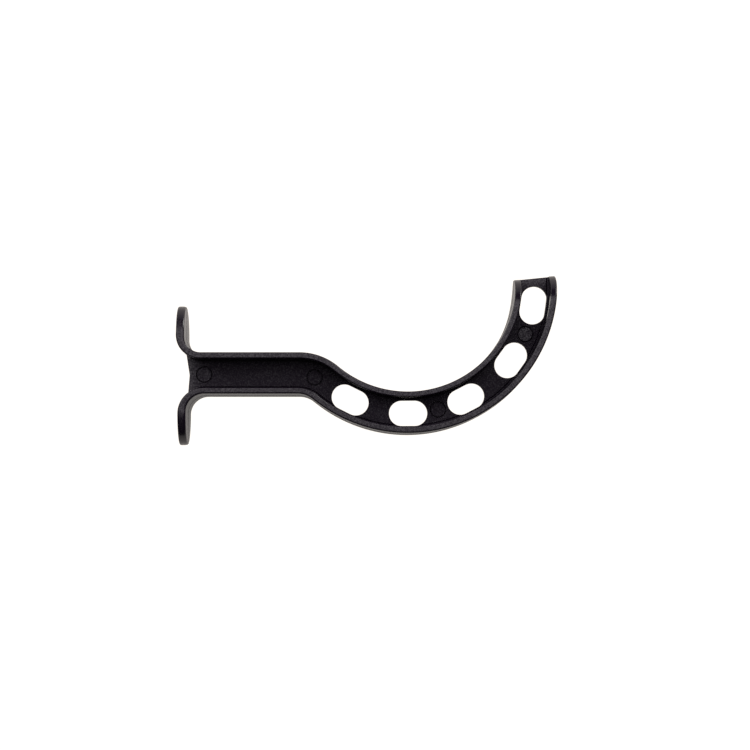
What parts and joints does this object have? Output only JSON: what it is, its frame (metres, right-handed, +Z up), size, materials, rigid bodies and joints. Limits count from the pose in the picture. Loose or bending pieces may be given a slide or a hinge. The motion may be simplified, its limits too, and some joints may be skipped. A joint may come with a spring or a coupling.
{
  "type": "oropharyngeal airway",
  "caption": "Oropharyngeal airway moulded in black plastic: a curved I-section with open side channels, a slotted web and a mouth flange.",
  "frame": {"origin": "middle of the footprint, on the surface that the airway lies on", "axes": "+X from the mouth flange towards the tip, +Y from the palate side to the hollow tongue side, +Z up through the depth"},
  "size_m": [0.0616, 0.0278, 0.0105],
  "materials": {
    "black_moulding": "satin moulded polyethylene"
  },
  "bodies": {
    "root": {"airway_body": "black_moulding"}
  },
  "joints": []
}
